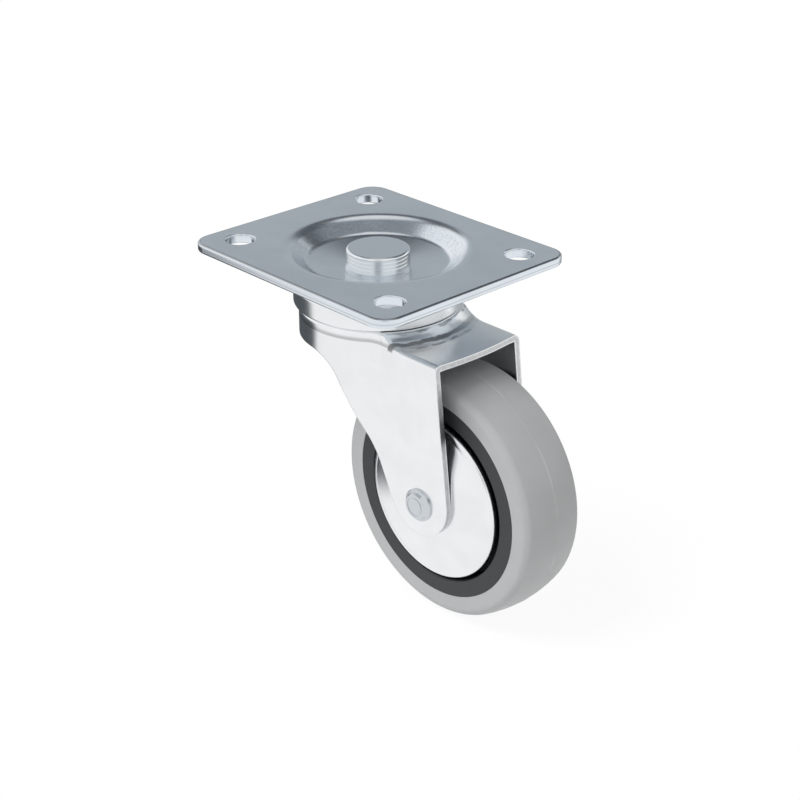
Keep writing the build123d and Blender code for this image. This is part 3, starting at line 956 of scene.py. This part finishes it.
class Room(Finish):
    """The light that comes from all around."""

    def __init__(self, name):
        world = bpy.data.worlds.new(name)
        world.use_nodes = True
        bpy.context.scene.world = world
        self.tree = world.node_tree
        self.shader = self.tree.nodes["Background"]
        self.place = self.node("ShaderNodeTexCoord", {}, {}, "Generated")

    def towards(self, azimuth, elevation):
        """How nearly a direction points the given way, up to 1."""
        return self.vector("DOT_PRODUCT", self.place, way(azimuth, elevation), "Value")


def make_room(strength):
    """White to the camera, grey walls and a dark ceiling in reflections, and even light elsewhere."""
    room = Room("studio_room")
    height = room.height()
    near = room.towards(CAMERA_SIDE, 0)

    # Parts of the room, from where each starts to where it is full
    ceiling = room.between(height, 0.47, 0.54) * room.between(near, 0.30, 0.14)
    far_ceiling = room.between(near, -0.35, -0.55)
    far_wall = room.between(room.towards(CAMERA_SIDE + 168, 0), 0.79, 0.85)
    left_wall = room.between(room.towards(CAMERA_SIDE - 105, 0), 0.42, 0.56)
    far_lamp = room.between(room.towards(CAMERA_SIDE + 180, 66), 0.955, 0.975)
    gap = room.between(room.towards(CAMERA_SIDE, 26), 0.955, 0.985)

    above = room.mix(far_ceiling, NEAR_CEILING, FAR_CEILING)
    reflected = room.mix(far_wall, PALE, FAR_WALL)
    reflected = room.mix(gap, reflected, WALL_GAP)
    reflected = room.mix(ceiling, reflected, above)
    reflected = room.mix(left_wall, reflected, PALE)
    reflected = room.mix(far_lamp, reflected, FAR_LAMP)
    even = (strength, strength, strength)
    seen = room.ray("Is Camera Ray") + room.ray("Is Transmission Ray")
    plain = room.mix(room.ray("Is Glossy Ray"), even, reflected)
    room.set(Color=room.mix(seen, plain, (1, 1, 1)), Strength=1.0)


def make_floor():
    """A white floor under the wheel with a faint painted shadow beside it, where more of the lit floor and
    its real shadow show, and dark cards lying on it that only gloss shows.
    """
    finish = Finish("white_floor")
    shade = finish.noise(300 * MM, detail=1.0)
    finish.set(Base_Color=finish.mix(shade, (0.93, 0.93, 0.93), (0.95, 0.95, 0.95)), Roughness=0.9)
    reach = finish.radius(swivel, (1, 1, 0))
    side_card = finish.bearing(-86, 41, 29) * finish.between(reach, 30 * MM, 70 * MM)
    side_card = side_card * finish.between(reach, 650 * MM, 400 * MM)
    back_card = finish.bearing(CAMERA_SIDE + 176, 70, 50) * finish.between(reach, 30 * MM, 60 * MM)
    cards = finish.mix(back_card, PALE, BACK_CARD)
    cards = finish.mix(side_card, cards, SIDE_CARD)
    # Painted shadow: beside the wheel the floor is a little darker, and more of its lit colour and real
    # shadow show there
    shade_middle = axle + Vector((22 * MM, 14 * MM, 0))
    shadow_zone = finish.between(finish.radius(shade_middle, (1, 1, 0)), 95 * MM, 20 * MM)
    share = finish.between(shadow_zone, 0, 1, 0.988, 0.93)
    white = finish.node("ShaderNodeEmission", {}, {"Color": (1, 1, 1, 1), "Strength": 1.0}, "Emission")
    glow = finish.node("ShaderNodeEmission", {}, {"Color": cards, "Strength": 1.0}, "Emission")
    body = Tone(finish, finish.shader.outputs["BSDF"])
    seen = (finish.ray("Is Camera Ray") + finish.ray("Is Transmission Ray")) * share
    pale = finish.node("ShaderNodeMixShader", {}, {0: seen, 1: body, 2: white})
    surface = finish.node("ShaderNodeMixShader", {}, {0: finish.ray("Is Glossy Ray"), 1: pale, 2: glow})
    finish.feed(finish.tree.nodes["Material Output"].inputs["Surface"], surface)
    shape = bmesh.new()
    bmesh.ops.create_grid(shape, x_segments=1, y_segments=1, size=FLOOR_HALF)
    bmesh.ops.translate(shape, verts=shape.verts, vec=(0, 0, packed_low.z - FLOOR_GAP))
    finished_piece("floor", shape, finish.material)


def make_lamp(name, azimuth, elevation, strength, softness):
    """A soft, far lamp that shines from the given direction and leaves gloss to the room."""
    lamp = bpy.data.lights.new(name, "SUN")
    lamp.energy = strength
    lamp.angle = math.radians(softness)
    holder = bpy.data.objects.new(name, lamp)
    holder.rotation_euler = (-way(azimuth, elevation)).to_track_quat("-Z", "Y").to_euler()
    holder.visible_glossy = False
    bpy.context.scene.collection.objects.link(holder)


def make_camera(studio):
    lens = bpy.data.cameras.new("camera")
    lens.lens = studio.lens
    lens.sensor_width = 36
    lens.clip_start = 0.01
    lens.clip_end = 50
    camera = bpy.data.objects.new("camera", lens)
    back = way(math.degrees(studio.azimuth), math.degrees(studio.elevation))
    camera.location = studio.camera_place
    camera.rotation_euler = (-back).to_track_quat("-Z", "Y").to_euler()
    bpy.context.scene.collection.objects.link(camera)
    bpy.context.scene.camera = camera


class CASTOR_OT_studio(bpy.types.Operator):
    """Make the floor, the light and the camera"""

    bl_idname = "castor.studio"
    bl_label = "Studio"

    def execute(self, context):
        studio = context.scene.castor_studio
        context.scene.view_settings.view_transform = "Standard"
        make_room(studio.room_strength)
        make_floor()
        make_lamp("key_lamp", -20, 56, studio.key_strength, 20)
        make_camera(studio)
        return {"FINISHED"}


OPERATORS = (
    CASTOR_OT_finishes,
    CASTOR_OT_plate,
    CASTOR_OT_swivel_head,
    CASTOR_OT_fork,
    CASTOR_OT_axle,
    CASTOR_OT_guards,
    CASTOR_OT_bearings,
    CASTOR_OT_wheel,
    CASTOR_OT_studio,
)
GROUPS = (
    ("castor_sizes", CastorSizes),
    ("castor_colours", CastorColours),
    ("castor_studio", CastorStudio),
)


class VIEW3D_PT_castor(bpy.types.Panel):
    """Lists the steps that make the castor"""

    bl_label = "Swivel castor"
    bl_space_type = "VIEW_3D"
    bl_region_type = "UI"
    bl_category = "Castor"

    def draw(self, context):
        for operator in OPERATORS:
            self.layout.operator(operator.bl_idname)
        for name, group in GROUPS:
            box = self.layout.box()
            for value in group.__annotations__:
                box.prop(getattr(context.scene, name), value)


def register():
    for name, group in GROUPS:
        bpy.utils.register_class(group)
        setattr(bpy.types.Scene, name, PointerProperty(type=group))
    for operator in OPERATORS:
        bpy.utils.register_class(operator)
    bpy.utils.register_class(VIEW3D_PT_castor)


def unregister():
    bpy.utils.unregister_class(VIEW3D_PT_castor)
    for operator in reversed(OPERATORS):
        bpy.utils.unregister_class(operator)
    for name, group in reversed(GROUPS):
        delattr(bpy.types.Scene, name)
        bpy.utils.unregister_class(group)


def main():
    register()
    bpy.ops.castor.finishes()
    bpy.ops.castor.plate()
    bpy.ops.castor.swivel_head()
    bpy.ops.castor.fork()
    bpy.ops.castor.axle()
    bpy.ops.castor.guards()
    bpy.ops.castor.bearings()
    bpy.ops.castor.wheel()
    bpy.ops.castor.studio()


if __name__ == "__main__":
    main()
